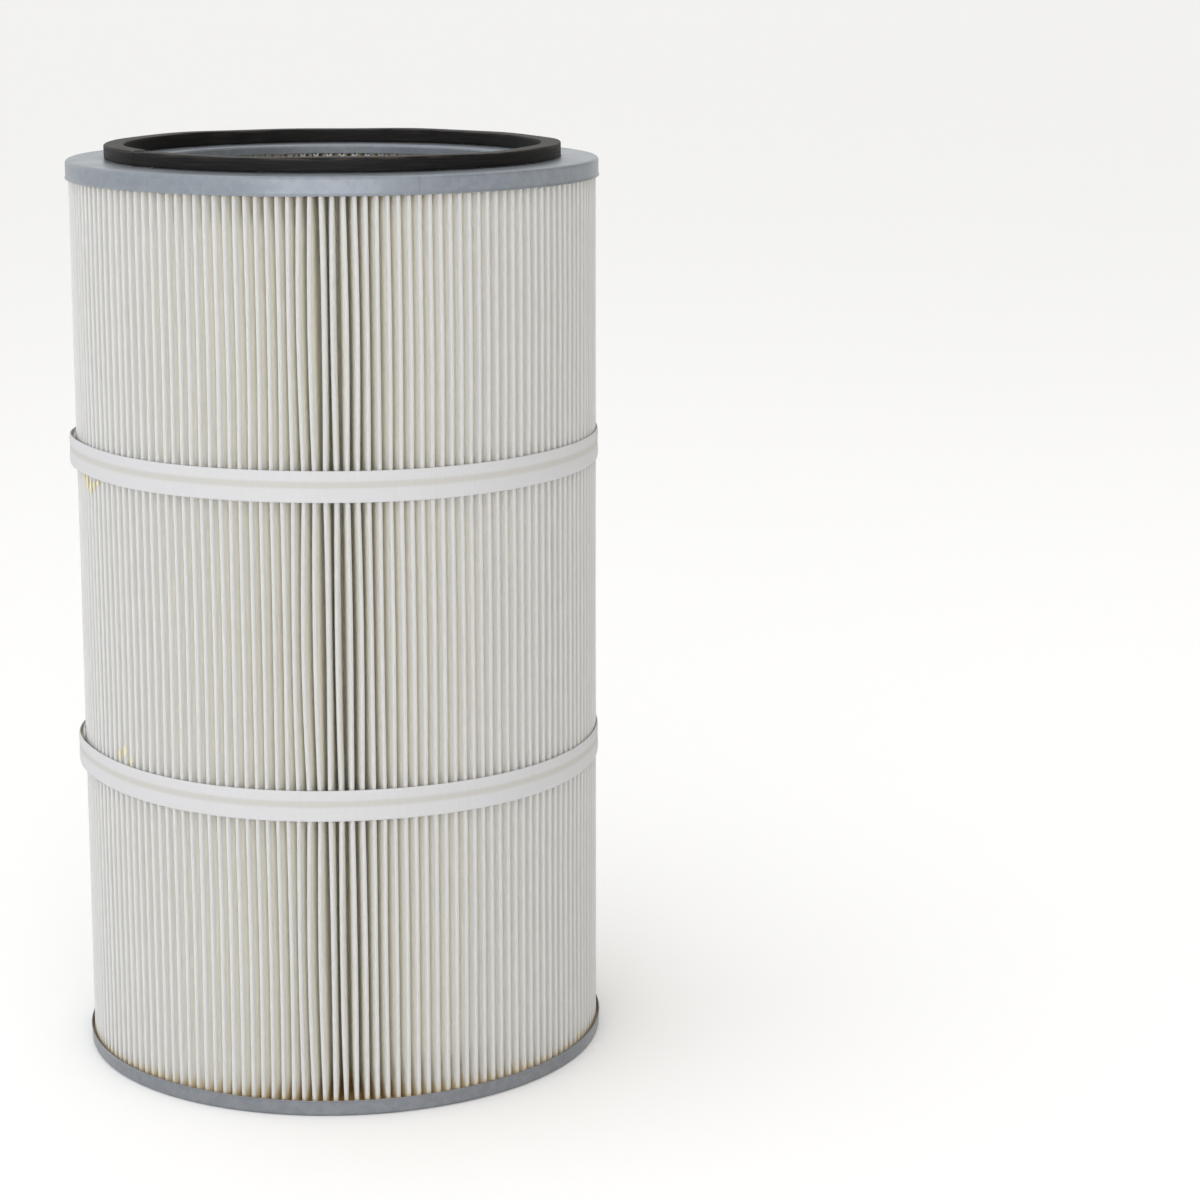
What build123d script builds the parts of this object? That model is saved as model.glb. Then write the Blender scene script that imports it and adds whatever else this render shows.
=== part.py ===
"""Pleated filter cartridge, open at one end: two pressed steel end caps, a folded
polyester filter cloth round an expanded-metal core, two glued straps and a gasket.

Millimetres, +Z up. The closed end stands on Z = 0 and the open end looks up. The
origin is the centre of the closed end's flat ring. Angles are in degrees about +Z,
counted from +X, unless a name says otherwise.
"""

from build123d import *
from math import acos, atan2, cos, hypot, pi, radians, sin
import os

# ---- driving dimensions -------------------------------------------------------------
cap_diameter = 350.0  # over the straight part of the outer skirts
bore_diameter = 240.0  # inside the open end
body_height = 600.0  # cap face to cap face
sheet = 0.8  # thickness of the cap steel
cap_bend = 2.0  # bend radius on the outside of the cap steel
open_skirt = 12.0  # depth of the open cap's outer skirt
inner_skirt = 6.4  # depth of its inner skirt, which stops short of the core's end
closed_skirt = 10.5  # height of the closed cap's outer skirt
skirt_flare = 0.5  # how far the free edge of an outer skirt turns out
flare_height = 1.6

dish_depth = 9.0  # how far the middle of the closed cap is pressed in
dish_step_radius = 112.0  # where the stiffening step in the dish floor begins
dish_step_width = 3.0
dish_step_rise = 1.2

core_inner_radius = 121.5
core_thickness = 1.0

pleat_count = 160
cloth = 0.6  # thickness of the filter cloth
media_outer_radius = 173.2
media_inner_radius = 122.9
outer_fold = 1.45  # radius of a tip fold, to the outside of the cloth
inner_fold = 1.15  # radius of a valley fold, to the outside of the cloth
media_end_gap = 2.0  # from a cap's outer face to the cloth's cut edge
potting_depth = 6.0  # from a cap's outer face to the glue's free surface

gasket_outer_radius = 150.0
gasket_width = 13.0
gasket_thickness = 9.4
gasket_round = 0.8
glue_film = 0.6  # under the gasket
glue_film_inset = 0.6  # from the gasket's edges to the film's
gasket_joint_angle = -142.0
gasket_joint_gap = 0.5

strap_width = 20.0
strap_thickness = 1.1
strap_levels = {"upper": 409.5, "lower": 205.7}
hot_melt = 0.3  # between the fold tips and a strap
hot_melt_width = 12.0
crossing_angle = -173.0  # where a strap's outer end is lifted most, over its inner end
inner_end_offset = 6.0  # degrees from the crossing back to the inner end
# Degrees from the crossing, and how far the strap is lifted off the fold tips there.
lift_points = [(23.0, 0.0), (9.0, 2.0), (0.0, 3.4), (-14.0, 2.4), (-34.0, 1.5)]

seam_angle = 100.0  # the valley in which the cloth's two ends are glued together
seam_bead_radii = (133.0, 149.0)

# ---- worked-out sizes ---------------------------------------------------------------
cap_radius = cap_diameter / 2
bore_radius = bore_diameter / 2
core_outer_radius = core_inner_radius + core_thickness
media_height = body_height - 2 * media_end_gap
half_pitch = pi / pleat_count  # radians
middle_bend = cap_bend - sheet / 2
skirt_middle = cap_radius - sheet / 2
bore_middle = bore_radius + sheet / 2
strap_inner_radius = media_outer_radius + hot_melt
strap_outer_radius = strap_inner_radius + strap_thickness

os.makedirs("parts", exist_ok=True)


def polar(radius, angle):
    """The point at an angle in radians."""
    return radius * cos(angle), radius * sin(angle)


def keep(piece, label):
    piece.part.label = label
    export_step(piece.part, f"parts/{label}.step")


# ---- end caps: a line down the middle of the steel, thickened and turned ------------
def turned_sheet(points, bends):
    """The steel's section in the XZ plane, with round free edges."""
    with BuildSketch(Plane.XZ) as section:
        with BuildLine():
            FilletPolyline(*points, radius=bends)
            offset(amount=sheet / 2, side=Side.BOTH, kind=Kind.ARC)
        make_face()
    return section.sketch


def outer_skirt(free_edge, knee, face):
    """The line of an outer skirt, from its turned-out free edge to the cap's face."""
    return [
        (skirt_middle + skirt_flare, free_edge),
        (skirt_middle, knee),
        (skirt_middle, face),
    ]


open_face = body_height - sheet / 2
open_free_edge = body_height - open_skirt + sheet / 2
open_section = turned_sheet(
    outer_skirt(open_free_edge, body_height - open_skirt + flare_height, open_face)
    + [(bore_middle, open_face), (bore_middle, body_height - inner_skirt + sheet / 2)],
    [sheet, middle_bend, middle_bend],
)
with BuildPart() as open_end_cap:
    add(open_section)
    revolve(axis=Axis.Z)
keep(open_end_cap, "open_end_cap")

dish_floor = dish_depth + sheet / 2
step_floor = dish_floor - dish_step_rise
closed_section = turned_sheet(
    outer_skirt(closed_skirt - sheet / 2, closed_skirt - flare_height, sheet / 2)
    + [
        (bore_middle, sheet / 2),
        (bore_middle, dish_floor),
        (dish_step_radius, dish_floor),
        (dish_step_radius - dish_step_width, step_floor),
        (sheet, step_floor),
    ],
    [sheet, middle_bend, middle_bend, middle_bend, cap_bend, cap_bend],
)
with BuildPart() as closed_end_cap:
    with BuildSketch(Plane.XZ):
        add(closed_section)
        with Locations((sheet, step_floor)):
            Rectangle(2 * sheet, sheet)
    revolve(axis=Axis.Z)
keep(closed_end_cap, "closed_end_cap")

# ---- inner core: the expanded metal's space as a plain tube -------------------------
with BuildPart() as inner_core:
    with BuildSketch(Plane.XY.offset(media_end_gap)):
        Circle(core_outer_radius)
        Circle(core_inner_radius, mode=Mode.SUBTRACT)
    extrude(amount=media_height)
keep(inner_core, "inner_core")


# ---- filter cloth: one long strip folded to and fro between two radii ---------------
def fold_line(tip_radius, valley_radius):
    """One face of the cloth, all the way round: arcs at the folds, straight flanks.

    The radii are those of the folds on this face of the cloth. A flank touches a tip
    fold on one side and a valley fold on the other, so it crosses between them.
    """
    tip_centre = media_outer_radius - outer_fold
    valley_x, valley_y = polar(media_inner_radius + inner_fold, half_pitch)
    across = hypot(valley_x - tip_centre, valley_y)
    turn = atan2(valley_y, valley_x - tip_centre)
    turn -= acos((tip_radius + valley_radius) / across)
    normal_x, normal_y = polar(1, turn)
    start_x, start_y = tip_centre + tip_radius * normal_x, tip_radius * normal_y
    end_x, end_y = valley_x - valley_radius * normal_x, valley_y - valley_radius * normal_y
    start_r, start_a = hypot(start_x, start_y), atan2(start_y, start_x)
    end_r, end_a = hypot(end_x, end_y), atan2(end_y, end_x)
    tip_r = tip_centre + tip_radius
    valley_r = hypot(valley_x, valley_y) - valley_radius
    edges = []
    for pleat in range(pleat_count):
        tip_a = 2 * half_pitch * pleat
        valley_a = tip_a + half_pitch
        next_a = tip_a + 2 * half_pitch
        before, after = polar(start_r, tip_a - start_a), polar(start_r, tip_a + start_a)
        down, up = polar(end_r, tip_a + end_a), polar(end_r, next_a - end_a)
        edges += [
            ThreePointArc(before, polar(tip_r, tip_a), after),
            Line(after, down),
            ThreePointArc(down, polar(valley_r, valley_a), up),
            Line(up, polar(start_r, next_a - start_a)),
        ]
    return edges


outside_face = fold_line(outer_fold, inner_fold - cloth)
inside_face = fold_line(outer_fold - cloth, inner_fold)
with BuildSketch() as folds:
    make_face(outside_face)
    make_face(inside_face, mode=Mode.SUBTRACT)
with BuildPart() as pleated_media:
    with BuildSketch(Plane.XY.offset(media_end_gap)):
        add(folds.sketch)
    extrude(amount=media_height)
keep(pleated_media, "pleated_media")

# The space between the core and a cap's skirt that the cloth leaves, in two faces:
# inside the folds, and outside them.
with BuildSketch() as gaps:
    Circle(cap_radius - sheet)
    Circle(core_outer_radius, mode=Mode.SUBTRACT)
    add(folds.sketch, mode=Mode.SUBTRACT)

# ---- seam bead: glue that fills the bottom of one valley between the cloth's ends ---
seam_valley = 2 * half_pitch * (round(radians(seam_angle) / (2 * half_pitch)) + 0.5)
with BuildSketch() as seam_section:
    with BuildLine():
        Polyline(
            polar(seam_bead_radii[0], seam_valley - half_pitch),
            polar(seam_bead_radii[1], seam_valley - half_pitch),
            polar(seam_bead_radii[1], seam_valley + half_pitch),
            polar(seam_bead_radii[0], seam_valley + half_pitch),
            close=True,
        )
    make_face()
    add(gaps.sketch, mode=Mode.INTERSECT)
seam_middle = Vector(*polar(sum(seam_bead_radii) / 2, seam_valley))
seam_face = seam_section.sketch.faces().sort_by_distance(seam_middle)[0]
with BuildPart() as media_seam_bead:
    with BuildSketch(Plane.XY.offset(potting_depth)):
        add(seam_face)
    extrude(amount=body_height - 2 * potting_depth)
keep(media_seam_bead, "media_seam_bead")

# ---- potting: glue in each cap, round the cloth's ends ------------------------------
with BuildPart() as closed_end_potting:
    with BuildSketch(Plane.XY.offset(sheet)):
        Circle(cap_radius - cap_bend)
        Circle(bore_radius + cap_bend, mode=Mode.SUBTRACT)
    extrude(amount=media_end_gap - sheet)
    with BuildSketch(Plane.XY.offset(media_end_gap)):
        add(gaps.sketch)
    extrude(amount=potting_depth - media_end_gap)
keep(closed_end_potting, "closed_end_potting")

with BuildPart() as open_end_potting:
    add(mirror(closed_end_potting.part, about=Plane.XY.offset(body_height / 2), mode=Mode.PRIVATE))
keep(open_end_potting, "open_end_potting")

# ---- gasket: a sponge strip bent into a ring, its ends butted and glued -------------
gasket_middle = gasket_outer_radius - gasket_width / 2
joint_arc = gasket_joint_gap / gasket_middle * 180 / pi
turned_plane = Plane.XZ.rotated((0, 0, gasket_joint_angle + joint_arc / 2))
with BuildPart() as gasket:
    with BuildSketch(turned_plane):
        with Locations((gasket_middle, body_height + glue_film + gasket_thickness / 2)):
            RectangleRounded(gasket_width, gasket_thickness, gasket_round)
    revolve(axis=Axis.Z, revolution_arc=360 - joint_arc)
keep(gasket, "gasket")

with BuildPart() as gasket_joint_glue:
    with BuildSketch(turned_plane):
        with Locations((gasket_middle, body_height + glue_film + gasket_thickness / 2)):
            RectangleRounded(gasket_width, gasket_thickness, gasket_round)
    revolve(axis=Axis.Z, revolution_arc=-joint_arc)
keep(gasket_joint_glue, "gasket_joint_glue")

with BuildPart() as gasket_adhesive:
    with BuildSketch(Plane.XY.offset(body_height)):
        Circle(gasket_outer_radius - glue_film_inset)
        Circle(gasket_outer_radius - gasket_width + glue_film_inset, mode=Mode.SUBTRACT)
    extrude(amount=glue_film)
keep(gasket_adhesive, "gasket_adhesive")


# ---- straps: woven tape once round the fold tips, its outer end glued over its start -
def strap_face(radius):
    """One face of the tape, from its inner end once round and up over itself."""
    places = [(offset_angle, radius + lift) for offset_angle, lift in lift_points]
    rise = [polar(r, radians(crossing_angle + turn)) for turn, r in places]
    ends = [radians(crossing_angle + lift_points[i][0]) for i in (0, -1)]
    inner_end = polar(radius, radians(crossing_angle + inner_end_offset))
    far_side = polar(radius, radians(crossing_angle + 180))
    return [
        ThreePointArc(inner_end, far_side, rise[0]),
        Spline(*rise, tangents=[(sin(angle), -cos(angle)) for angle in ends]),
    ]


strap_faces = strap_face(strap_inner_radius) + strap_face(strap_outer_radius)
inner_arc, inner_rise, outer_arc, outer_rise = strap_faces
inner_cut = Line(inner_arc @ 0, outer_arc @ 0)
outer_cut = Line(inner_rise @ 1, outer_rise @ 1)
with BuildSketch() as strap_section:
    make_face([*strap_faces, inner_cut, outer_cut])

# Glue between the strap's two layers: what is left of a ring sector above the inner one.
glue_ends = (crossing_angle + inner_end_offset, crossing_angle + lift_points[-1][0] + 1)
glue_middle = Vector(*polar(strap_outer_radius + 0.3, radians(sum(glue_ends) / 2)))
with BuildSketch() as overlap_glue:
    Circle(strap_outer_radius + lift_points[2][1])
    Circle(strap_outer_radius, mode=Mode.SUBTRACT)
    with BuildLine():
        reach = 2 * cap_radius
        Polyline(
            (0, 0),
            polar(reach, radians(glue_ends[0])),
            polar(reach, radians(glue_ends[1])),
            close=True,
        )
    make_face(mode=Mode.INTERSECT)
    add(strap_section.sketch, mode=Mode.SUBTRACT)
overlap_face = overlap_glue.sketch.faces().sort_by_distance(glue_middle)[0]

for level_name, level in strap_levels.items():
    lowest = level - strap_width / 2
    with BuildPart() as strap:
        with BuildSketch(Plane.XY.offset(lowest)):
            add(strap_section.sketch)
        extrude(amount=strap_width)
    keep(strap, f"{level_name}_strap")

    with BuildPart() as strap_hot_melt:
        with BuildSketch(Plane.XY.offset(level - hot_melt_width / 2)):
            Circle(strap_inner_radius)
            Circle(media_outer_radius, mode=Mode.SUBTRACT)
        extrude(amount=hot_melt_width)
    keep(strap_hot_melt, f"{level_name}_strap_hot_melt")

    with BuildPart() as strap_end_glue:
        with BuildSketch(Plane.XY.offset(level - hot_melt_width / 2)):
            add(overlap_face)
        extrude(amount=hot_melt_width)
    keep(strap_end_glue, f"{level_name}_strap_end_glue")
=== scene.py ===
"""Looks of the pleated filter cartridge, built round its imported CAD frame. Metres, +Z up."""

import math

import bmesh
import bpy
import mathutils
import numpy as np
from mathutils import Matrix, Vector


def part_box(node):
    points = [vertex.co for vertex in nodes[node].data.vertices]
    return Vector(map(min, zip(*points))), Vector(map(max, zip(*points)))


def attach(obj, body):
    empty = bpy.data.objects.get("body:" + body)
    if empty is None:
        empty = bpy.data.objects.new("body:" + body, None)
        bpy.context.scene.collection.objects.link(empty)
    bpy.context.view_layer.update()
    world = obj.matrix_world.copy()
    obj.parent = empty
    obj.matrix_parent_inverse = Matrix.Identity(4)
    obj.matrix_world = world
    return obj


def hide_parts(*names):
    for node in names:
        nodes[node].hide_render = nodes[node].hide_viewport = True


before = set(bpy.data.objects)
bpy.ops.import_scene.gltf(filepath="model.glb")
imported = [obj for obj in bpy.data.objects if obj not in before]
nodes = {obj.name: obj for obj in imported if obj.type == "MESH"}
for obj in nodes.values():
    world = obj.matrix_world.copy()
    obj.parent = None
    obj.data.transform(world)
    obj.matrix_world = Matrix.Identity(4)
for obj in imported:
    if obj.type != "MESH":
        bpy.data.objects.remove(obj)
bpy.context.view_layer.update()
scene = bpy.context.scene
MM = 0.001
rng = np.random.default_rng(11)

# ---- sizes read from the frame, and the few that the folds and tapes add ------------
media_low, media_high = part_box("pleated_media")
core_low, core_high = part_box("inner_core")
gasket_low, gasket_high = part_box("gasket")
PLEATS = 160
HALF_PITCH = math.pi / PLEATS
CLOTH = 0.6 * MM
TIP_RADIUS = float(media_high.x)  # of the fold tips, from the axis
VALLEY_RADIUS = 122.9 * MM
OUTER_FOLD = 1.45 * MM
INNER_FOLD = 1.15 * MM
FLANK_PLACE = 0.30  # where a flank bulges most, as a share of it from its tip
STRAP_INNER = TIP_RADIUS + 0.3 * MM
STRAP_WIDTH = 20 * MM
STRAP_TURN = 400.0  # degrees from a tape's start to its outer end
GASKET_WIDTH = 13.0 * MM
CORE_CELLS = 84  # diamonds round the core
CORE_LEVELS = 95  # and up it
CROSSING = math.radians(-173)  # where a tape's outer end rides over its start
SEAM_ANGLE = math.radians(100)  # of the cloth's glued seam
JOINT_ANGLE = math.radians(-142)  # of the gasket's butt joint
CAP_SEAM_ANGLE = math.radians(-67.7)  # of the line on the open cap's skirt
UPPER_DRIPS = math.radians(-157.5)  # where the drips of each tape's glue start
LOWER_DRIPS = math.radians(-141.5)
LOOSE = np.arange(118, 127)  # pleats at the front that lean apart and leave deep gaps
LOOSE_LEAN = np.array([-0.3, -1.0, -0.7, 0.8, -0.5, 0.9, 1.0, 0.5, 0.2])
FLOOR = 200.0  # half of its side


def middle_z(node):
    low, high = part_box(node)
    return (low.z + high.z) / 2


STRAPS = {"upper": middle_z("upper_strap"), "lower": middle_z("lower_strap")}


def held_levels():
    """Heights that hold the folds: potting, each edge of both tapes, potting."""
    half = STRAP_WIDTH / 2
    return [media_low.z + 5 * MM, STRAPS["lower"] - half, STRAPS["lower"] + half,
            STRAPS["upper"] - half, STRAPS["upper"] + half, media_high.z - 5 * MM]


# ---- mesh helpers -------------------------------------------------------------------
def new_piece(name, vertices, faces, sharp):
    """A mesh object from the given faces, smooth up to an angle in degrees."""
    mesh = bpy.data.meshes.new(name)
    mesh.from_pydata(np.asarray(vertices).reshape(-1, 3).tolist(), [], faces)
    mesh.update()
    mesh.validate()
    piece = bpy.data.objects.new(name, mesh)
    scene.collection.objects.link(piece)
    mesh.shade_smooth()
    mesh.set_sharp_from_angle(angle=math.radians(sharp))
    return piece


def grid_faces(across, along):
    """Quads of a grid of across x along vertices, which wraps round in the along way."""
    i = np.arange(across - 1)[:, None]
    j = np.arange(along)[None, :]
    after = (j + 1) % along
    quads = np.stack([i * along + j, (i + 1) * along + j,
                      (i + 1) * along + after, i * along + after])
    return quads.reshape(4, -1).T


def volume(vertices, quads):
    """Signed volume, to tell whether the faces look outwards."""
    a, b, c, d = (vertices[quads[:, n]] for n in range(4))
    return float((a * np.cross(b, c)).sum() + (a * np.cross(c, d)).sum()) / 6


def swept(name, points, closed, sharp, uv=None):
    """A closed section carried along a path: points[station, place on the section]."""
    stations, around = points.shape[:2]
    vertices = points.reshape(-1, 3)
    quads = grid_faces(stations, around)
    last = (stations - 1) * around  # the first vertex of the last station
    if closed:
        here = np.arange(around)
        after = (here + 1) % around
        quads = np.concatenate([quads, np.stack([last + here, here, after, last + after]).T])
    inward = volume(vertices, quads) < 0
    if inward:
        quads = quads[:, ::-1]
    faces = quads.tolist()
    if not closed:
        ends = [list(range(around)), list(range(last, last + around))[::-1]]
        faces += ends if inward else [end[::-1] for end in ends]
    piece = new_piece(name, vertices, faces, sharp)
    if uv is not None:
        add_uv(piece, uv, quads, stations, around)
    return piece


def add_uv(piece, uv, quads, stations, around):
    """A map in metres of length along and across, kept right where the grid wraps."""
    layer = piece.data.uv_layers.new(name="Cloth")
    places = np.zeros((len(piece.data.loops), 2), np.float32)
    corner = quads.reshape(-1)
    station, place = corner // around, corner % around
    wrapped_station = (quads.max(axis=1) // around - quads.min(axis=1) // around > 1).repeat(4)
    station = np.where(wrapped_station & (station == 0), stations, station)
    low_place = (quads % around).min(axis=1).repeat(4)
    wrapped_place = ((quads % around).max(axis=1).repeat(4) - low_place) > 1
    place = np.where(wrapped_place & (place == 0), around, place)
    places[: len(corner), 0] = uv[0][station]
    places[: len(corner), 1] = uv[1][place]
    layer.data.foreach_set("uv", places.ravel())


def smooth_noise(count, reach, generator):
    """Values round a ring of places, alike within reach places, of about unit size."""
    raw = generator.normal(size=count)
    kernel = np.exp(-0.5 * (np.arange(-3 * reach, 3 * reach + 1) / reach) ** 2)
    kernel /= math.sqrt((kernel ** 2).sum())
    return np.array([(kernel * raw[np.arange(n - 3 * reach, n + 3 * reach + 1) % count]).sum()
                     for n in range(count)])


def clean(piece, distance, turn_out):
    """Joins points that lie together, and may turn the faces outwards again."""
    bm = bmesh.new()
    bm.from_mesh(piece.data)
    bmesh.ops.remove_doubles(bm, verts=bm.verts, dist=distance)
    if turn_out:
        bmesh.ops.recalc_face_normals(bm, faces=bm.faces)
    bm.to_mesh(piece.data)
    bm.free()


def finish_piece(piece, material, slot, *replaced):
    """Gives a piece its material and its body, and hides the CAD nodes it replaces; the slot is
    not used.
    """
    piece.data.materials.append(material)
    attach(piece, "root")
    if replaced:
        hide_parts(*replaced)
    return piece


# ---- materials ----------------------------------------------------------------------
class Nodes:
    """A short way to write a node tree for one Principled surface."""

    def __init__(self, name, roughness, metallic=0.0, specular=0.5, sheen=0.0):
        self.material = bpy.data.materials.new(name)
        self.material.use_nodes = True
        self.tree = self.material.node_tree
        self.surface = self.tree.nodes["Principled BSDF"]
        self.surface.inputs["Roughness"].default_value = roughness
        self.surface.inputs["Metallic"].default_value = metallic
        self.surface.inputs["Specular IOR Level"].default_value = specular
        self.surface.inputs["Sheen Weight"].default_value = sheen
        self.place = self.tree.nodes.new("ShaderNodeTexCoord").outputs["Object"]

    def put(self, socket, value):
        if isinstance(value, bpy.types.NodeSocket):
            self.tree.links.new(value, socket)
        elif isinstance(value, tuple) and len(value) == 3 and len(socket.default_value) == 4:
            socket.default_value = (*value, 1.0)
        else:
            socket.default_value = value

    def add(self, kind, settings=None, **inputs):
        node = self.tree.nodes.new("ShaderNode" + kind)
        for key, value in (settings or {}).items():
            setattr(node, key, value)
        for key, value in inputs.items():
            self.put(node.inputs[int(key[1:]) if key[0] == "_" else key], value)
        return node

    def math(self, operation, a, b=0.0, c=0.0):
        return self.add("Math", {"operation": operation}, _0=a, _1=b, _2=c).outputs[0]

    def ramp(self, value, low, high, to_low=0.0, to_high=1.0):
        node = self.add("MapRange", {"interpolation_type": "SMOOTHSTEP"})
        for n, v in enumerate((value, low, high, to_low, to_high)):
            self.put(node.inputs[n], v)
        return node.outputs[0]

    def mix(self, share, a, b):
        node = self.add("Mix", {"data_type": "RGBA"})
        for n, v in ((0, share), (6, a), (7, b)):
            self.put(node.inputs[n], v)
        return node.outputs[2]

    def noise(self, scale, detail=3.0, roughness=0.55, vector=None, stretch=None):
        vector = vector or self.place
        if stretch:
            node = self.add("VectorMath", {"operation": "MULTIPLY"}, _0=vector)
            node.inputs[1].default_value = stretch
            vector = node.outputs[0]
        return self.add("TexNoise", Vector=vector, Scale=scale, Detail=detail,
                        Roughness=roughness).outputs["Fac"]

    def axes(self, vector=None):
        return self.add("SeparateXYZ", Vector=vector or self.place).outputs

    def radius(self):
        x, y, _ = self.axes()
        return self.math("SQRT", self.math("ADD", self.math("MULTIPLY", x, x),
                                           self.math("MULTIPLY", y, y)))

    def angle(self):
        x, y, _ = self.axes()
        return self.math("ARCTAN2", y, x)

    def bump(self, height, distance, strength=1.0, normal=None):
        node = self.add("Bump", Height=height, Distance=distance, Strength=strength)
        if normal:
            self.put(node.inputs["Normal"], normal)
        return node.outputs["Normal"]

    def end(self, color, normal=None, roughness=None):
        self.put(self.surface.inputs["Base Color"], color)
        if normal:
            self.put(self.surface.inputs["Normal"], normal)
        if roughness:
            self.put(self.surface.inputs["Roughness"], roughness)
        return self.material


def waves(n, value, pitch):
    """A sine of a length in metres, from 0 to 1."""
    sine = n.math("SINE", n.math("MULTIPLY", value, 2 * math.pi / pitch))
    return n.math("MULTIPLY_ADD", sine, 0.5, 0.5)


def cloth_material():
    n = Nodes("white_spunbond_cloth", 0.85, specular=0.2, sheen=0.08)
    n.surface.inputs["Subsurface Weight"].default_value = 0.7
    n.surface.inputs["Subsurface Radius"].default_value = (1.0, 1.0, 1.0)
    n.surface.inputs["Subsurface Scale"].default_value = 3.0 * MM
    z = n.axes()[2]
    # Painted light: the gaps between the folds are painted a much lighter cream than the tips, to
    # make up for the shade deep in them.
    depth = n.ramp(n.radius(), TIP_RADIUS - 6 * MM, TIP_RADIUS - 0.6 * MM, 1.0, 0.0)
    cloud = n.noise(9.0, 4.0)
    fibres = n.noise(420.0, 4.0, 0.7, stretch=(1.0, 1.0, 0.35))
    tips = n.mix(cloud, (0.555, 0.553, 0.545), (0.585, 0.585, 0.582))
    painted_gap_light = n.mix(cloud, (0.90, 0.875, 0.80), (0.92, 0.90, 0.83))
    color = n.mix(depth, tips, painted_gap_light)
    color = n.mix(n.ramp(fibres, 0.35, 0.8, 0.0, 0.10), color, (0.62, 0.60, 0.54))
    # Point bond: rows of small pits about a millimetre apart, on the cloth's own map.
    own = n.add("UVMap", {"uv_map": "Cloth"}).outputs["UV"]
    u, v, _ = n.axes(own)
    pits = n.math("MULTIPLY", waves(n, u, 1.15 * MM), waves(n, v, 1.3 * MM))
    color = n.mix(n.math("MULTIPLY", pits, 0.13), color, (0.55, 0.55, 0.52))
    # Potting glue soaks into the cloth's two ends, and furthest in the gaps.
    ragged = n.math("MULTIPLY", n.noise(160.0, 3.0, stretch=(1.0, 1.0, 0.15)), 10 * MM)
    deep = n.math("MULTIPLY", depth, 4 * MM)
    soaked = n.math("SUBTRACT", n.math("SUBTRACT", z, ragged), deep)
    low_stain = n.ramp(soaked, 2 * MM, 10 * MM, 0.7, 0.0)
    color = n.mix(low_stain, color, (0.70, 0.55, 0.27))
    top_soaked = n.math("ADD", n.math("ADD", z, ragged), deep)
    top_stain = n.ramp(top_soaked, media_high.z - 7 * MM, media_high.z + 4 * MM, 0.0, 0.6)
    color = n.mix(top_stain, color, (0.60, 0.48, 0.25))
    normal = n.bump(pits, 0.05 * MM, 0.7)
    normal = n.bump(fibres, 0.05 * MM, 0.4, normal)
    normal = n.bump(n.noise(60.0, 2.0, stretch=(1.0, 1.0, 0.05)), 0.2 * MM, 0.3, normal)
    return n.end(color, normal)


def tape_material():
    n = Nodes("white_woven_tape", 0.7, specular=0.3, sheen=0.2)
    own = n.add("UVMap", {"uv_map": "Cloth"}).outputs["UV"]
    u, v, _ = n.axes(own)
    ribs = waves(n, u, 0.95 * MM)
    picks = waves(n, v, 0.7 * MM)
    cloud = n.noise(30.0, 3.0)
    stripe = n.math("MULTIPLY", n.ramp(v, 8.2 * MM, 10.2 * MM),
                    n.ramp(v, 14.4 * MM, 12.2 * MM))
    color = n.mix(cloud, (0.55, 0.55, 0.565), (0.58, 0.58, 0.597))
    color = n.mix(n.math("MULTIPLY", stripe, 0.7), color, (0.46, 0.445, 0.40))
    # Painted shade: the grooves between the ribs are painted a darker grey.
    between = n.math("SUBTRACT", 1.0, ribs)
    color = n.mix(n.math("MULTIPLY", between, 0.16), color, (0.42, 0.42, 0.42))
    normal = n.bump(ribs, 0.16 * MM, 0.8)
    normal = n.bump(picks, 0.05 * MM, 0.6, normal)
    normal = n.bump(n.noise(700.0, 3.0), 0.05 * MM, 0.5, normal)
    return n.end(color, normal)


def cap_material(name, light, dark, seam):
    n = Nodes(name, 0.36, metallic=0.28, specular=0.5)
    cloud = n.noise(5.0, 3.0)
    spangle = n.add("TexVoronoi", {"feature": "F1"}, Vector=n.place, Scale=260.0).outputs["Color"]
    spangle = n.add("SeparateColor", Color=spangle).outputs[0]
    streak = n.noise(30.0, 4.0, stretch=(1.0, 1.0, 16.0))
    color = n.mix(cloud, dark, light)
    color = n.mix(n.math("MULTIPLY", spangle, 0.07), color, (0.62, 0.66, 0.70))
    color = n.mix(n.ramp(streak, 0.58, 0.75, 0.0, 0.25), color, tuple(0.8 * c for c in dark))
    scratch = n.ramp(n.noise(140.0, 2.0, stretch=(1.0, 0.5, 5.0)), 0.70, 0.76)
    color = n.mix(n.math("MULTIPLY", scratch, 0.10), color, (0.5, 0.52, 0.54))
    normal = n.bump(cloud, 1.2 * MM, 0.35)
    normal = n.bump(n.noise(40.0, 2.0), 0.12 * MM, 0.5, normal)
    if seam:  # a thin dark line down the skirt
        off = n.math("ABSOLUTE", n.math("SUBTRACT", n.angle(), CAP_SEAM_ANGLE))
        line = n.math("MULTIPLY", n.ramp(off, 0.0010, 0.0020, 1.0, 0.0),
                      n.ramp(n.radius(), 0.1725, 0.1735))
        color = n.mix(n.math("MULTIPLY", line, 0.55), color, (0.16, 0.17, 0.19))
        normal = n.bump(n.math("SUBTRACT", 1.0, line), 0.3 * MM, 0.6, normal)
    rough = n.ramp(n.noise(22.0, 4.0), 0.3, 0.7, 0.30, 0.42)
    return n.end(color, normal, rough)


def steel_mesh_material():
    n = Nodes("galvanised_expanded_metal", 0.38, metallic=0.85)
    cloud = n.noise(220.0, 3.0)
    color = n.mix(cloud, (0.52, 0.54, 0.56), (0.70, 0.72, 0.74))
    return n.end(color, n.bump(cloud, 0.1 * MM, 0.5), n.ramp(cloud, 0.3, 0.7, 0.3, 0.5))


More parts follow.
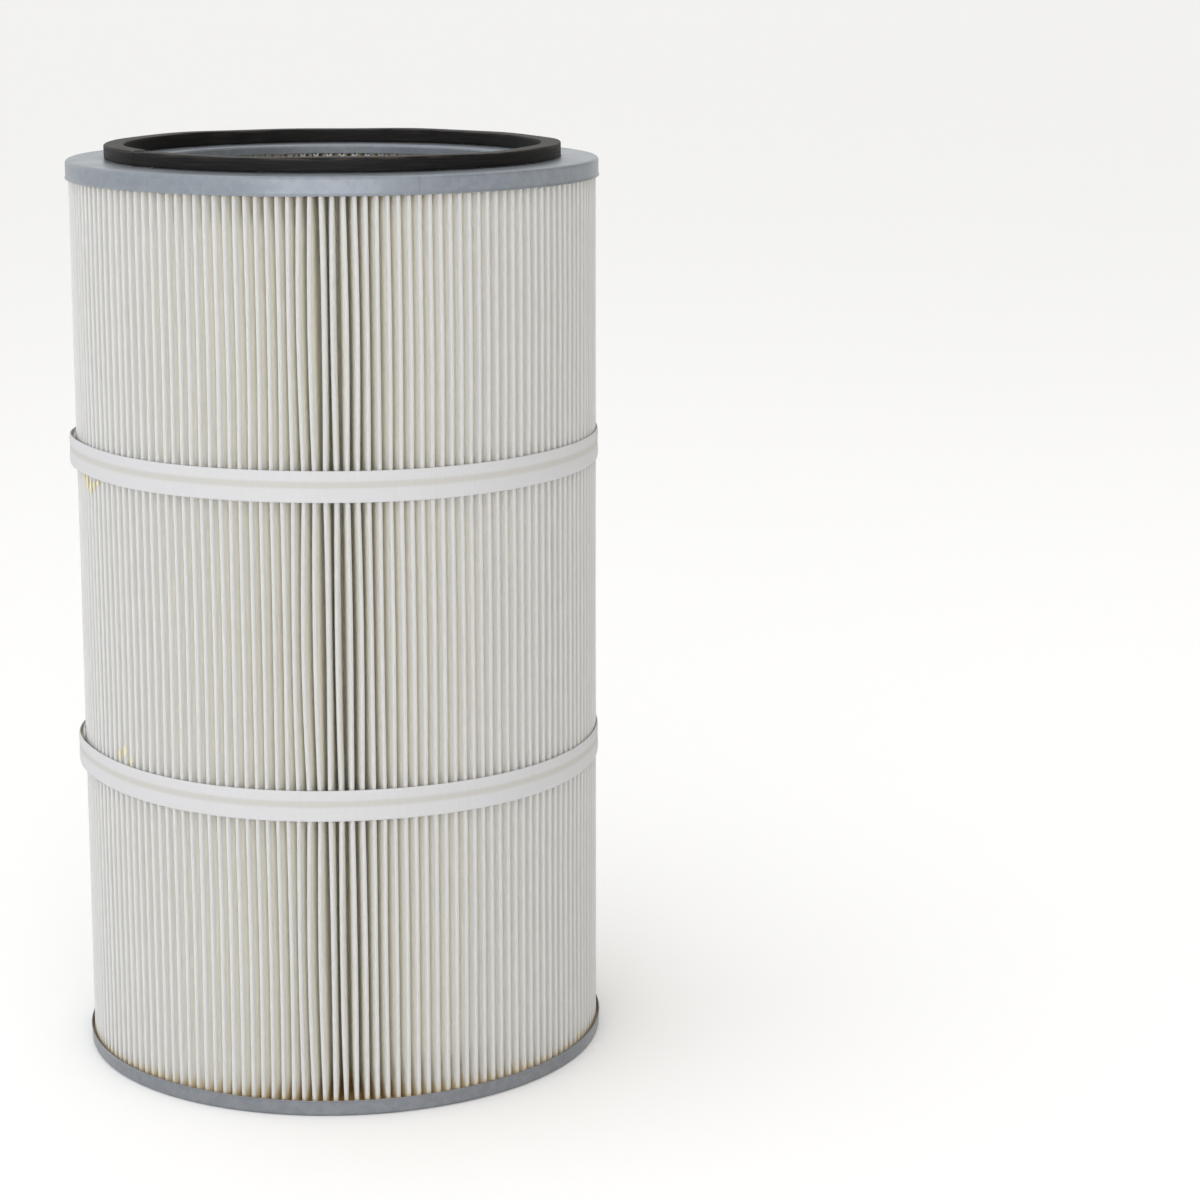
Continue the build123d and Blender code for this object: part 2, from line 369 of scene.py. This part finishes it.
def rubber_material():
    n = Nodes("black_sponge_rubber", 0.66, specular=0.18)
    rings = n.add("CombineXYZ", X=n.math("MULTIPLY", n.radius(), 1300.0),
                  Y=n.math("MULTIPLY", n.angle(), 5.0),
                  Z=n.math("MULTIPLY", n.axes()[2], 900.0)).outputs[0]
    striae = n.noise(1.0, 4.0, 0.65, vector=rings)
    cells = n.add("TexVoronoi", {"feature": "F1"}, Vector=n.place, Scale=1500.0)
    color = n.mix(n.ramp(striae, 0.4, 0.75), (0.004, 0.004, 0.0045), (0.018, 0.016, 0.015))
    # Painted sheen: the ring's top is painted a lighter brown, as where it catches light from the
    # sky, and hardly its sides.
    top = n.ramp(n.axes()[2], gasket_high.z - 2.5 * MM, gasket_high.z - 0.8 * MM, 0.04, 0.7)
    painted_top_sheen = n.math("MULTIPLY", n.ramp(striae, 0.42, 0.66), top)
    color = n.mix(painted_top_sheen, color, (0.075, 0.062, 0.052))
    normal = n.bump(striae, 0.35 * MM, 0.7)
    normal = n.bump(cells.outputs["Distance"], 0.12 * MM, 0.5, normal)
    return n.end(color, normal, n.ramp(striae, 0.3, 0.8, 0.5, 0.75))


def glue_material(name, light, dark, roughness):
    n = Nodes(name, roughness, specular=0.5)
    cloud = n.noise(90.0, 4.0)
    bubbles = n.add("TexVoronoi", {"feature": "SMOOTH_F1"}, Vector=n.place, Scale=500.0)
    color = n.mix(n.ramp(cloud, 0.3, 0.7), dark, light)
    normal = n.bump(cloud, 0.5 * MM, 0.5)
    return n.end(color, n.bump(bubbles.outputs[0], 0.1 * MM, 0.4, normal))


CLOTH_LOOK = cloth_material()
TAPE_LOOK = tape_material()
OPEN_CAP_LOOK = cap_material("open_cap_steel", (0.215, 0.240, 0.272),
                             (0.182, 0.206, 0.237), seam=True)
CLOSED_CAP_LOOK = cap_material("closed_cap_steel", (0.190, 0.202, 0.222),
                               (0.164, 0.174, 0.193), seam=False)
CORE_LOOK = steel_mesh_material()
RUBBER_LOOK = rubber_material()
POTTING_LOOK = glue_material("amber_potting", (0.62, 0.46, 0.22), (0.40, 0.26, 0.10), 0.4)
MELT_LOOK = glue_material("hot_melt_glue", (0.72, 0.67, 0.46), (0.60, 0.54, 0.32), 0.35)
CONTACT_LOOK = glue_material("contact_glue", (0.05, 0.05, 0.047),
                             (0.012, 0.012, 0.012), 0.5)


# ---- filter cloth -------------------------------------------------------------------
def fold_profile(tip_radius, valley_radius):
    """Points of one face of one pleat, from a valley's middle over the tip to the next.

    Each is (distance from the axis, angle from the tip's middle).
    """
    tip_centre = TIP_RADIUS - OUTER_FOLD
    valley_at = VALLEY_RADIUS + INNER_FOLD
    valley_x, valley_y = valley_at * math.cos(HALF_PITCH), valley_at * math.sin(HALF_PITCH)
    across = math.hypot(valley_x - tip_centre, valley_y)
    turn = math.atan2(valley_y, valley_x - tip_centre)
    turn -= math.acos((tip_radius + valley_radius) / across)
    half = []
    for t in (0.0, 1 / 3, 2 / 3, 1.0):  # from the tip's top round to the flank
        a = turn * t
        half.append((tip_centre + tip_radius * math.cos(a), tip_radius * math.sin(a)))
    flank_end = (valley_x - valley_radius * math.cos(turn),
                 valley_y - valley_radius * math.sin(turn))
    start = half[-1]
    half.append(tuple(a + (b - a) * FLANK_PLACE for a, b in zip(start, flank_end)))
    inward = math.pi + HALF_PITCH  # towards the axis, seen from the valley's centre
    begin = math.pi + turn
    for t in (0.0, 0.62):
        a = begin + (inward - begin) * t
        half.append((valley_x + valley_radius * math.cos(a),
                     valley_y + valley_radius * math.sin(a)))
    full = [(x, -y) for x, y in half[:0:-1]] + half
    return np.array([(math.hypot(x, y), math.atan2(y, x)) for x, y in full])


def bow_table(rows_z):
    """In metres, for each pleat and height: how far the tip moves sideways, how far it
    moves in, and how far the flanks swell.
    """
    low, high = media_low.z, media_high.z
    held = held_levels()
    ends = [0.11 * smooth_noise(PLEATS, 1, rng) for _ in range(2)]
    bands = [0.16 * smooth_noise(PLEATS, 2, rng) + 0.09 * rng.normal(size=PLEATS)
             for _ in range(2)]
    fixed = [ends[0], bands[0], bands[0], bands[1], bands[1], ends[1]]
    side = np.zeros((PLEATS, len(rows_z)))
    back = np.zeros((PLEATS, len(rows_z)))
    spans = [(held[0], held[1]), (held[2], held[3]), (held[4], held[5])]
    shapes = []
    for _ in spans:
        bow = 0.28 * smooth_noise(PLEATS, 5, rng) + 0.08 * rng.normal(size=PLEATS)
        wave = 0.08 * smooth_noise(PLEATS, 4, rng) + 0.03 * rng.normal(size=PLEATS)
        bow[LOOSE] += LOOSE_LEAN * rng.uniform(0.8, 1.5) - 0.9
        shapes.append((bow, wave, 0.15 * np.abs(rng.normal(size=PLEATS))))
    for row, z in enumerate(rows_z):
        side[:, row] = [np.interp(z, held, [f[k] for f in fixed]) for k in range(PLEATS)]
        for (z0, z1), (bow, wave, sunk) in zip(spans, shapes):
            if z0 < z < z1:
                t = (z - z0) / (z1 - z0)
                side[:, row] += bow * math.sin(math.pi * t) + wave * math.sin(2 * math.pi * t)
                back[:, row] += sunk * math.sin(math.pi * t)
    # Nothing moves inside the potting, and little next to the glued seam.
    from_glue = np.minimum(rows_z - low - 4 * MM, high - 4 * MM - rows_z)
    potted = np.clip(from_glue / (12 * MM), 0.0, 1.0)
    angle = np.arange(PLEATS) * 2 * HALF_PITCH
    far = np.abs((angle - SEAM_ANGLE + math.pi) % (2 * math.pi) - math.pi) / HALF_PITCH
    seam = np.clip((far - 2.0) / 4.0, 0.0, 1.0)[:, None]
    # Flanks swell towards their neighbours, but in the loose group they stay flat.
    swell = 1.36 + 0.04 * rng.normal(size=PLEATS).clip(-2, 1.6)
    swell[LOOSE] = 0.60
    phase = np.arange(PLEATS)[:, None] * 1.7 + 14 * rows_z[None, :]
    swell = swell[:, None] * (0.92 + 0.08 * np.sin(phase))
    shared = potted * seam * MM
    return side * shared, back * shared, swell * shared


def media_rows():
    """Heights of the cloth's rows of points."""
    marks = held_levels()
    inner = [np.linspace(marks[n], marks[n + 1], count + 2)[1:-1]
             for n, count in ((0, 5), (2, 6), (4, 5))]
    return np.sort(np.concatenate([[media_low.z, media_high.z], marks, *inner]))


def build_media():
    """The folded cloth all the way round, and the length of its strip."""
    rows_z = media_rows()
    side, back, bulge = bow_table(rows_z)
    width = 1.0 + 0.04 * rng.normal(size=PLEATS).clip(-1.5, 1.2)
    sides = []
    for tip_radius, valley_radius in ((OUTER_FOLD, INNER_FOLD - CLOTH),
                                      (OUTER_FOLD - CLOTH, INNER_FOLD)):
        profile = fold_profile(tip_radius, valley_radius)
        radius, angle = profile[:, 0], profile[:, 1]
        share = (radius - VALLEY_RADIUS - 2 * MM) / (TIP_RADIUS - VALLEY_RADIUS - 4 * MM)
        share = np.clip(share, 0, 1)[None, :, None] ** 1.2
        tips = np.arange(PLEATS)[:, None, None] * 2 * HALF_PITCH
        bulging = np.zeros(len(radius))
        bulging[2], bulging[-3] = -1.0, 1.0  # the points at FLANK_PLACE, one on each flank
        # Each array here is (pleat, place on the profile, row).
        wide = 1 + (width[:, None, None] - 1) * share
        turned = tips + angle[None, :, None] * wide + side[:, None, :] / TIP_RADIUS * share
        turned = turned + bulge[:, None, :] * bulging[None, :, None] / radius[None, :, None]
        out = radius[None, :, None] - back[:, None, :] * share
        xyz = np.stack([out * np.cos(turned), out * np.sin(turned),
                        np.broadcast_to(rows_z, turned.shape)], axis=-1)
        sides.append(xyz.reshape(-1, len(rows_z), 3))
    points = np.concatenate([sides[0], sides[1][:, ::-1]], axis=1)
    mid = (sides[0][:, 0] + sides[1][:, 0]) / 2
    steps = np.linalg.norm(np.diff(mid, axis=0, append=mid[:1]), axis=1)
    along = np.concatenate([[0.0], np.cumsum(steps)])
    height = np.concatenate([rows_z, rows_z[::-1], rows_z[:1]])
    media = swept("pleated_cloth", points, True, sharp=65.0, uv=(along, height))
    return finish_piece(media, CLOTH_LOOK, "filter_cloth", "pleated_media"), float(along[-1])


# ---- expanded-metal core ------------------------------------------------------------
def build_core():
    """Rows of flat diamond frames, each joined to its neighbours at its corners."""
    outer_r = float(core_high.x)
    inner_r = outer_r - 1.0 * MM
    height = (core_high.z - core_low.z) / (CORE_LEVELS + 1)
    half_width = math.pi / CORE_CELLS
    strand_w, strand_h = 0.24, 0.26  # of a cell's half width and half height
    # A diamond and its hole on the outer face, then on the inner one. The hole's edge is
    # pressed in a little on the outer face.
    rings = ((outer_r, 1, 1), (outer_r - 0.18 * MM, 1 - strand_w, 1 - strand_h),
             (inner_r, 1, 1), (inner_r, 1 - strand_w, 1 - strand_h))
    vertices, faces = [], []
    for level in range(CORE_LEVELS):
        z = core_low.z + (level + 1) * height
        for n in range(CORE_CELLS):
            a = 2 * half_width * (n + 0.5 * (level % 2))
            base = len(vertices)
            for r, share_w, share_h in rings:
                w, h = half_width * share_w, height * share_h
                for da, dz in ((w, 0), (0, h), (-w, 0), (0, -h)):
                    vertices.append((r * math.cos(a + da), r * math.sin(a + da), z + dz))
            out, out_hole, into, into_hole = range(base, base + 16, 4)
            for c in range(4):
                d = (c + 1) % 4
                faces.append((out + c, out + d, out_hole + d, out_hole + c))
                faces.append((into + d, into + c, into_hole + c, into_hole + d))
                faces.append((out_hole + c, out_hole + d, into_hole + d, into_hole + c))
    core = new_piece("expanded_metal_core", vertices, faces, sharp=30.0)
    clean(core, 0.02 * MM, turn_out=False)
    core.data.set_sharp_from_angle(angle=math.radians(30))
    finish_piece(core, CORE_LOOK, "expanded_steel", "inner_core")


# ---- straps -------------------------------------------------------------------------
# Degrees run back from the tape's start, and how far it is lifted there, in millimetres.
RISE = ((0.0, 0.0), (343.0, 0.0), (350.0, 0.75), (357.0, 2.0), (366.0, 3.4), (372.0, 3.1),
        (380.0, 2.4), (390.0, 1.75), (STRAP_TURN, 1.5))


def tape_section():
    """The woven tape's section: (height above its lower edge, outwards), round the loop."""
    outer = [(0.0, 0.40), (0.25, 0.72), (1.0, 0.95), (2.6, 1.07), (4.8, 1.10), (7.0, 1.03),
             (8.8, 0.88), (10.4, 0.80), (11.8, 0.79), (13.2, 0.86), (14.6, 1.0), (16.2, 1.08),
             (17.8, 1.06), (19.1, 0.94), (19.75, 0.72), (20.0, 0.40)]
    inner = [(19.8, 0.12), (19.0, 0.0), (14.0, 0.0), (6.0, 0.0), (1.0, 0.0), (0.2, 0.12)]
    return np.array(outer + inner) * MM


def build_strap(level, middle, start_shift, end_shift):
    """A tape once round and over its own start, whose two ends stray up or down."""
    section = tape_section()
    turns = np.arange(0.0, STRAP_TURN + 0.01, 0.5)
    lift = np.interp(turns, *zip(*RISE)) * MM
    lift = np.convolve(np.pad(lift, 6, mode="edge"), np.ones(13) / 13, mode="valid")
    start = CROSSING + math.radians(6)  # just past the crossing
    angle = start - np.radians(turns)
    settle = np.clip(1 - turns / 26.0, 0, 1) ** 2 * start_shift
    stray = np.clip((turns - 352.0) / 40.0, 0, 1) ** 1.5 * end_shift
    wander = (0.35 * np.sin(angle * 2 + 1.0) + 0.2 * np.sin(angle * 5 + middle * 40)) * MM
    wander *= np.clip(turns / 30, 0, 1) * np.clip((STRAP_TURN - turns) / 60, 0, 1)
    # The tape dips a little between the tips it rests on.
    between = 0.5 - 0.5 * np.cos(angle * PLEATS)
    resting = np.clip(1 - lift / (0.6 * MM), 0, 1)
    base = STRAP_INNER + lift - 0.10 * MM * between * resting
    z = middle - STRAP_WIDTH / 2 + section[None, :, 0] + (settle + stray + wander)[:, None]
    # The edges curl towards the folds a little.
    curl = -0.12 * MM * np.clip(np.abs(section[:, 0] / STRAP_WIDTH - 0.5) * 2, 0, 1) ** 4
    r = base[:, None] + section[None, :, 1] + (curl + 0.12 * MM)[None, :] * 0.5
    points = np.stack([r * np.cos(angle)[:, None], r * np.sin(angle)[:, None], z], axis=-1)
    along = np.concatenate([np.radians(turns) * STRAP_INNER, [0.0]])
    across = np.concatenate([section[:, 0], section[:1, 0]])
    strap = swept(f"{level}_tape", points, False, sharp=60.0, uv=(along, across))
    finish_piece(strap, TAPE_LOOK, "strap_tape", f"{level}_strap")
    return strap, float(along[-2])


# ---- gasket -------------------------------------------------------------------------
def rounded_section(width, height, radius):
    """A rectangle with round corners about its centre, as (outwards, up)."""
    corner, flats = 4, 3  # steps round a corner, and points along a flat side
    arcs = []
    for cx, cy, start in ((1, -1, -90), (1, 1, 0), (-1, 1, 90), (-1, -1, 180)):
        turns = np.radians(start + 90 * np.arange(corner + 1) / corner)
        arcs.append(np.stack([cx * (width / 2 - radius) + radius * np.cos(turns),
                              cy * (height / 2 - radius) + radius * np.sin(turns)], axis=1))
    points = []
    for arc, after in zip(arcs, arcs[1:] + arcs[:1]):
        points += [arc, np.linspace(arc[-1], after[0], flats + 2)[1:-1]]
    return np.concatenate(points)


def build_gasket():
    """A strip bent into a ring, whose ends meet unevenly at a thin gap."""
    height = gasket_high.z - gasket_low.z
    middle = float(gasket_high.x) - GASKET_WIDTH / 2
    section = rounded_section(GASKET_WIDTH, height, 0.9 * MM)
    gap = 0.3 * MM / middle
    turns = np.linspace(gap / 2, 2 * math.pi - gap / 2, 481)
    angle = JOINT_ANGLE + turns
    ends = np.exp(-turns / 0.025) - 0.7 * np.exp(-(turns[-1] - turns) / 0.03)
    ring = sum(size * np.sin(count * angle + start)
               for size, count, start in ((0.25, 3, 0.4), (0.15, 7, 1.9), (0.1, 13, 4.0)))
    r = middle + section[None, :, 0] + (ring * 0.8 + 1.0 * ends)[:, None] * MM
    sag = (0.22 * np.sin(5 * angle + 2.0) + 0.15 * np.sin(11 * angle)) - 0.4 - 0.35 * np.abs(ends)
    rise = (section[:, 1] / height + 0.5)[None, :]
    z = gasket_low.z + rise * (height + sag[:, None] * MM)
    points = np.stack([r * np.cos(angle)[:, None], r * np.sin(angle)[:, None], z], axis=-1)
    gasket = swept("sponge_gasket", points, False, sharp=50.0)
    finish_piece(gasket, RUBBER_LOOK, "sponge_rubber", "gasket")


# ---- glue that shows ----------------------------------------------------------------
def blobs(name, places, seed):
    """Small flattened drops: (angle, distance from the axis, z, width, height, depth)."""
    generator = np.random.default_rng(seed)
    vertices, faces = [], []
    rings, around = 8, 12
    up = np.array([0.0, 0.0, 1.0])
    for angle, r, z, width, height, depth in places:
        base = len(vertices)
        lumps = generator.uniform(0.75, 1.15, (rings + 1, around))
        out = np.array([math.cos(angle), math.sin(angle), 0.0])
        side = np.array([-math.sin(angle), math.cos(angle), 0.0])
        centre = out * r + up * z
        for i in range(rings + 1):
            t = math.pi * i / rings
            for j in range(around):
                p = 2 * math.pi * j / around
                k = lumps[i, j] if 0 < i < rings else 1.0
                taper = 1 - 0.35 * (0.5 - 0.5 * math.cos(t))
                across = side * math.sin(t) * math.cos(p) * width / 2 * taper
                outward = out * math.sin(t) * math.sin(p) * depth / 2
                vertices.append(centre + k * (across + outward) + up * math.cos(t) * height / 2)
        for i in range(rings):
            for j in range(around):
                k = (j + 1) % around
                faces.append((base + i * around + j, base + (i + 1) * around + j,
                              base + (i + 1) * around + k, base + i * around + k))
    piece = new_piece(name, vertices, faces, sharp=80.0)
    clean(piece, 0.001 * MM, turn_out=True)
    return piece


def strap_drips():
    """Drips below the upper tape and above the lower one, on neighbouring fold tips."""
    drips = []
    for edge, way, start, width, depth, runs in (
            (STRAPS["upper"] - STRAP_WIDTH / 2, -MM, UPPER_DRIPS, 4.6 * MM, 1.6 * MM,
             ((2.0, 7.425), (4.5, 12.15), (7.5, 10.8), (5.5, 8.1), (2.5, 5.4))),
            (STRAPS["lower"] + STRAP_WIDTH / 2, MM, LOWER_DRIPS, 3.8 * MM, 1.4 * MM,
             ((5.0, 10.4), (9.0, 11.7), (3.0, 6.5)))):
        for n, (off, long) in enumerate(runs):
            pleat = round(start / (2 * HALF_PITCH)) + n
            drips.append((pleat * 2 * HALF_PITCH, TIP_RADIUS - 0.5 * MM, edge + way * off,
                          width, long * MM, depth))
    return drips


def gasket_specks():
    """Beads of glue up the outside of the gasket's joint, and along its lower edges."""
    middle = gasket_high.x - GASKET_WIDTH / 2
    specks = [(JOINT_ANGLE + 0.0025 * aside, middle + 6.3 * MM, gasket_low.z + rise * MM,
               1.8 * MM, 2.4 * MM, 1.2 * MM)
              for aside, rise in ((-1, 1.2), (1, 3.6), (-1.5, 6.0), (0.6, 8.0))]
    for _ in range(70):
        angle = rng.uniform(-math.pi, math.pi)
        out = 6.45 * MM if rng.uniform() < 0.5 else -6.45 * MM
        specks.append((angle, middle + out, gasket_low.z - 0.15 * MM,
                       rng.uniform(1.0, 5.0) * MM, rng.uniform(0.6, 1.1) * MM,
                       rng.uniform(0.8, 1.6) * MM))
    return specks


# ---- build everything ---------------------------------------------------------------
def dress(node, material):
    """A carried-over CAD node gets its material."""
    mesh = nodes[node].data
    mesh.materials.clear()
    mesh.materials.append(material)


build_core()
media, strip_length = build_media()
upper_tape, tape_length = build_strap("upper", STRAPS["upper"], 1.2 * MM, -2.2 * MM)
lower_tape, _ = build_strap("lower", STRAPS["lower"], 5.5 * MM, -0.5 * MM)
build_gasket()
finish_piece(blobs("hot_melt_drips", strap_drips(), 5), MELT_LOOK, "hot_melt")
finish_piece(blobs("gasket_glue_specks", gasket_specks(), 9), CONTACT_LOOK, "contact_glue")

for node, look in {
    "open_end_cap": OPEN_CAP_LOOK, "closed_end_cap": CLOSED_CAP_LOOK,
    "open_end_potting": POTTING_LOOK, "closed_end_potting": POTTING_LOOK,
    "media_seam_bead": POTTING_LOOK, "gasket_adhesive": CONTACT_LOOK,
    "gasket_joint_glue": CONTACT_LOOK, "upper_strap_hot_melt": MELT_LOOK,
    "lower_strap_hot_melt": MELT_LOOK, "upper_strap_end_glue": MELT_LOOK,
    "lower_strap_end_glue": MELT_LOOK,
}.items():
    dress(node, look)

# ---- stage, light and camera --------------------------------------------------------
mesh = bpy.data.meshes.new("floor")
mesh.from_pydata([(-FLOOR, -FLOOR, 0), (FLOOR, -FLOOR, 0), (FLOOR, FLOOR, 0), (-FLOOR, FLOOR, 0)],
                 [], [(0, 1, 2, 3)])
floor = bpy.data.objects.new("floor", mesh)
floor.location.z = -0.1 * MM  # just under the closed cap
scene.collection.objects.link(floor)
floor_look = Nodes("pale_floor", 0.7, specular=0.1)
floor_color = floor_look.mix(floor_look.noise(2.0), (0.965, 0.965, 0.965),
                             (0.975, 0.975, 0.975))
mesh.materials.append(floor_look.end(floor_color))

# A white room that is dimmer on its right side.
world = bpy.data.worlds.new("studio")
scene.world = world
world.use_nodes = True
room = world.node_tree
background = room.nodes["Background"]
background.inputs["Strength"].default_value = 1.05
way = room.nodes.new("ShaderNodeTexCoord")
sides = room.nodes.new("ShaderNodeSeparateXYZ")
dimmer = room.nodes.new("ShaderNodeMapRange")
dimmer.interpolation_type = "SMOOTHSTEP"
for name, value in (("From Min", 0.24), ("From Max", 0.68), ("To Min", 0.0), ("To Max", 1.0)):
    dimmer.inputs[name].default_value = value
tones = room.nodes.new("ShaderNodeMix")
tones.data_type = "RGBA"
tones.inputs[6].default_value = (1.0, 1.0, 1.0, 1.0)
tones.inputs[7].default_value = (0.43, 0.40, 0.34, 1.0)
for start, end in ((way.outputs["Generated"], sides.inputs[0]),
                   (sides.outputs["X"], dimmer.inputs[0]),
                   (dimmer.outputs[0], tones.inputs[0]),
                   (tones.outputs[2], background.inputs["Color"])):
    room.links.new(start, end)


def area_light(name, place, target, size, power, color=(1.0, 1.0, 1.0)):
    """A rectangular lamp turned towards a point, which the camera doesn't see."""
    light = bpy.data.lights.new(name, "AREA")
    light.shape = "RECTANGLE"
    light.size, light.size_y = size
    light.energy = power
    light.color = color
    lamp = bpy.data.objects.new(name, light)
    scene.collection.objects.link(lamp)
    lamp.visible_camera = False
    lamp.location = place
    aim = np.subtract(target, place).tolist()
    lamp.rotation_euler = mathutils.Vector(aim).to_track_quat("-Z", "Y").to_euler()


area_light("key_left", (-2.6, -2.0, 1.3), (0, 0, 0.3), (1.6, 2.0), 2.0, (0.97, 0.98, 1.0))
area_light("top", (0.0, -0.9, 3.3), (0, 0, 0.3), (4.4, 4.4), 24.0)
area_light("front", (0.0, -3.6, 0.75), (0, 0, 0.35), (3.0, 1.2), 41.0)

scene.view_settings.view_transform = "Standard"
scene.cycles.diffuse_bounces = 8
camera_data = bpy.data.cameras.new("camera")
camera = bpy.data.objects.new("camera", camera_data)
scene.collection.objects.link(camera)
camera.location = (0.1760, -2.0293, 0.7432)
camera.rotation_euler = (math.radians(90 - 10.739), 0.0, 0.0)
camera_data.sensor_width = 36.0
camera_data.lens = 91.8
camera_data.shift_y = -0.07
camera_data.clip_end = 600.0
scene.camera = camera
